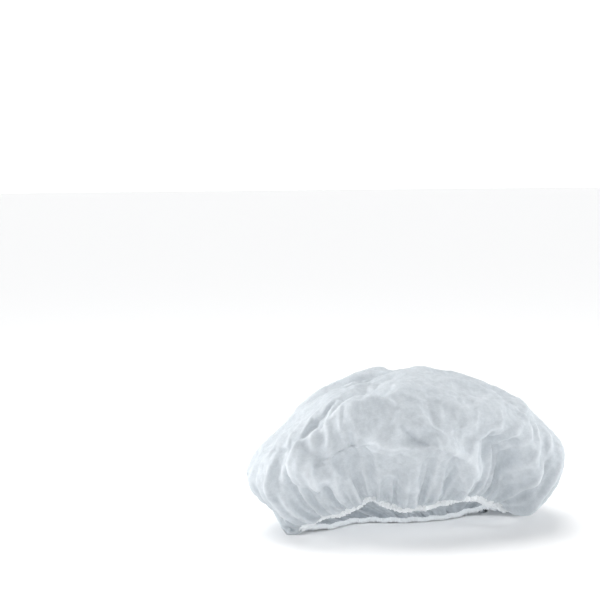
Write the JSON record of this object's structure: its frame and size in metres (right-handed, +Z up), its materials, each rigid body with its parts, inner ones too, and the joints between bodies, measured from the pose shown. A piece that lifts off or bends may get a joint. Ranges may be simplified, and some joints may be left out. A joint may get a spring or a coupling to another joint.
{
  "type": "bouffant hair cap",
  "caption": "Disposable bouffant hair cap of thin white nonwoven cloth, gathered on elastic and standing puffed up with the front of its mouth lifted.",
  "frame": {"origin": "on the floor that the cap rests on, under the middle of its box", "axes": "+X along the cap's long side, +Z up, and the lifted front of the mouth faces -Y"},
  "size_m": [0.3302, 0.2454, 0.157],
  "materials": {
    "nonwoven_cloth": "matt",
    "hem_cloth": "matt",
    "elastic": "matt"
  },
  "bodies": {
    "root": {"crown": "nonwoven_cloth", "hem": "hem_cloth", "elastic": "elastic"}
  },
  "joints": []
}
